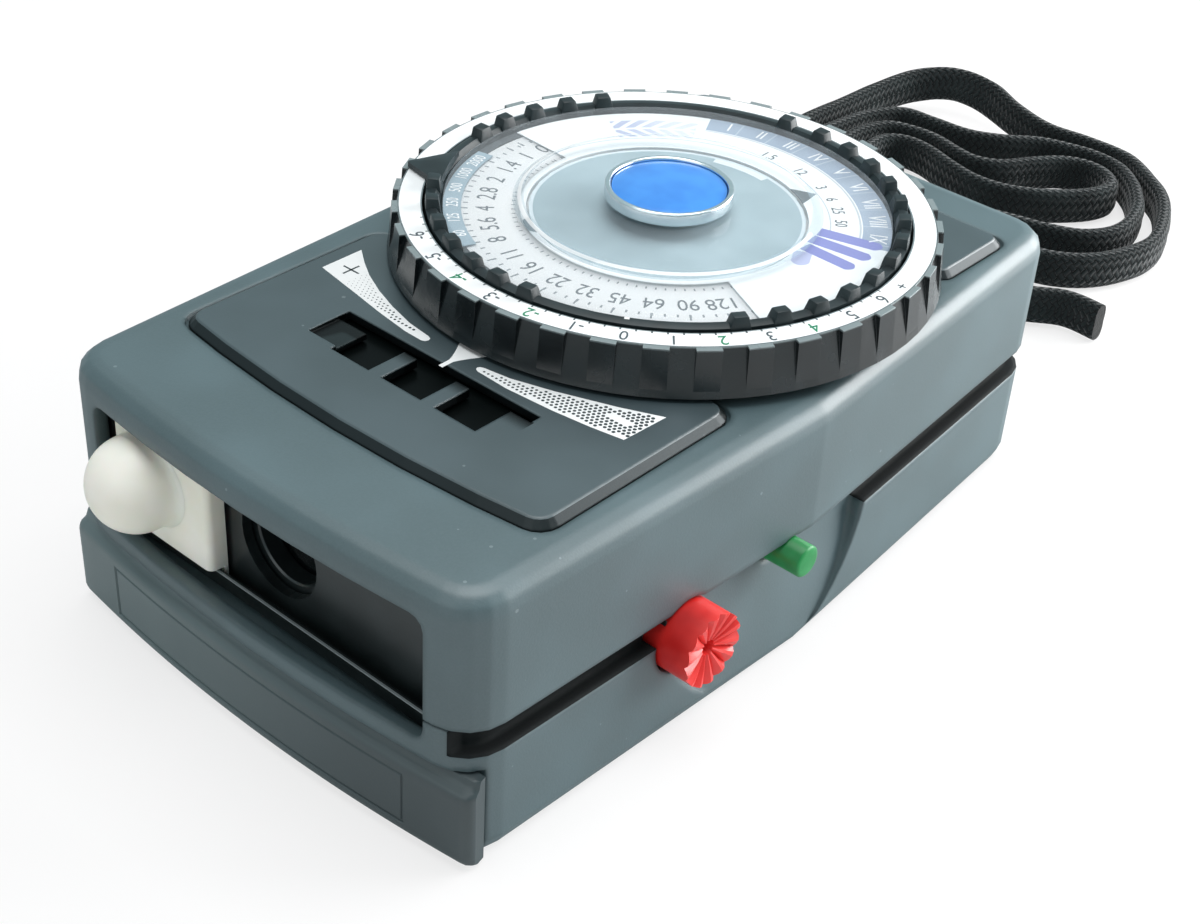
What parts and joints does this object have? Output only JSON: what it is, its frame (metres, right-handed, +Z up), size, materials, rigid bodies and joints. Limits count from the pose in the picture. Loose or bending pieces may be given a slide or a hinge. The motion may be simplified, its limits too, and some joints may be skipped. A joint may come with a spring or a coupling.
{
  "type": "light meter",
  "caption": "Hand-held exposure meter with a serrated calculator dial, sliding diffuser over the sensor slot, press keys on one side and a wrist strap.",
  "frame": {"origin": "on the flat underside, on the middle line, at the widest place of the housing", "axes": "+Z up out of the dial, -Y toward the sensor slot, +X toward the keys"},
  "size_m": [0.0861, 0.2049, 0.0442],
  "materials": {
    "shell": "fine matt grain, dark grey with a cool cast",
    "plate": "smooth satin, dark grey",
    "black": "satin black moulding",
    "white": "printed white sheet",
    "ivory": "translucent ivory moulding",
    "red": "semi-gloss red",
    "green": "semi-gloss green",
    "blue": "gloss blue",
    "grey": "satin blue-grey",
    "clear": "clear, polished",
    "steel": "plain metal",
    "brass": "plain metal",
    "board": "green board",
    "strap": "woven black cord"
  },
  "bodies": {
    "housing": {"bottom_housing": "shell", "top_housing": "shell", "dial_plate": "plate", "rear_plate": "plate", "window_glass": "clear", "front_bar": "shell", "slot_frame": "black", "sensor_tube": "black", "sensor_lens": "clear", "photocell": "steel", "pot_body": "steel", "pot_nut": "brass", "circuit_board": "board", "red_switch": "black", "green_switch": "black", "capacitor": "steel", "amplifier_chip": "black", "trimmer": "grey", "meter_case": "steel", "meter_core": "steel", "meter_bridge": "brass", "needle_scale": "black", "battery": "steel", "battery_snap": "black", "housing_screw_1": "steel", "housing_screw_2": "steel", "housing_screw_3": "steel", "housing_screw_4": "steel", "strap_pin": "steel", "strap": "strap"},
    "outer_dial": {"outer_ring": "black", "outer_scale": "white", "scale_disc": "white", "dial_shaft": "brass"},
    "inner_dial": {"lug_ring": "black", "clear_disc": "clear", "centre_disc": "grey", "hub_bezel": "steel", "hub_badge": "blue"},
    "diffuser": {"diffuser": "ivory"},
    "red_press": {"red_stem": "steel", "red_spring": "steel"},
    "red_head": {"red_key": "red"},
    "green_press": {"green_key": "green", "green_spring": "steel"},
    "needle": {"meter_coil": "brass", "meter_needle": "white"},
    "cover": {"battery_cover": "shell"}
  },
  "joints": [
    {"name": "outer_dial_turn", "type": "hinge", "parent": "housing", "child": "outer_dial", "pos_m": [0, 0.0118, 0.0355], "axis": [0, 0, 1], "range_deg": [-150, 150]},
    {"name": "inner_dial_turn", "type": "hinge", "parent": "outer_dial", "child": "inner_dial", "pos_m": [0, 0.0118, 0.0398], "axis": [0, 0, 1], "range_deg": [-170, 170]},
    {"name": "diffuser_slide", "type": "slide", "parent": "housing", "child": "diffuser", "axis": [1, 0, 0], "range_m": [0, 0.0186]},
    {"name": "red_key_press", "type": "slide", "parent": "housing", "child": "red_press", "axis": [-1, 0, 0], "range_m": [0, 0.002], "stiffness_N_per_m": 120, "springref_m": -0.004, "deforming": ["red_spring"]},
    {"name": "red_key_turn", "type": "hinge", "parent": "red_press", "child": "red_head", "pos_m": [0.0333, -0.0213, 0.0135], "axis": [1, 0, 0], "range_deg": [0, 90]},
    {"name": "green_key_press", "type": "slide", "parent": "housing", "child": "green_press", "axis": [-1, 0, 0], "range_m": [0, 0.0015], "stiffness_N_per_m": 120, "springref_m": -0.004, "deforming": ["green_spring"]},
    {"name": "needle_swing", "type": "hinge", "parent": "housing", "child": "needle", "pos_m": [0, -0.013, 0.02], "axis": [0, 0, 1], "range_deg": [-25, 25], "stiffness_Nm_per_rad": 0.00002},
    {"name": "battery_cover_slide", "type": "slide", "parent": "housing", "child": "cover", "axis": [0, 1, 0], "range_m": [0, 0.01]}
  ]
}
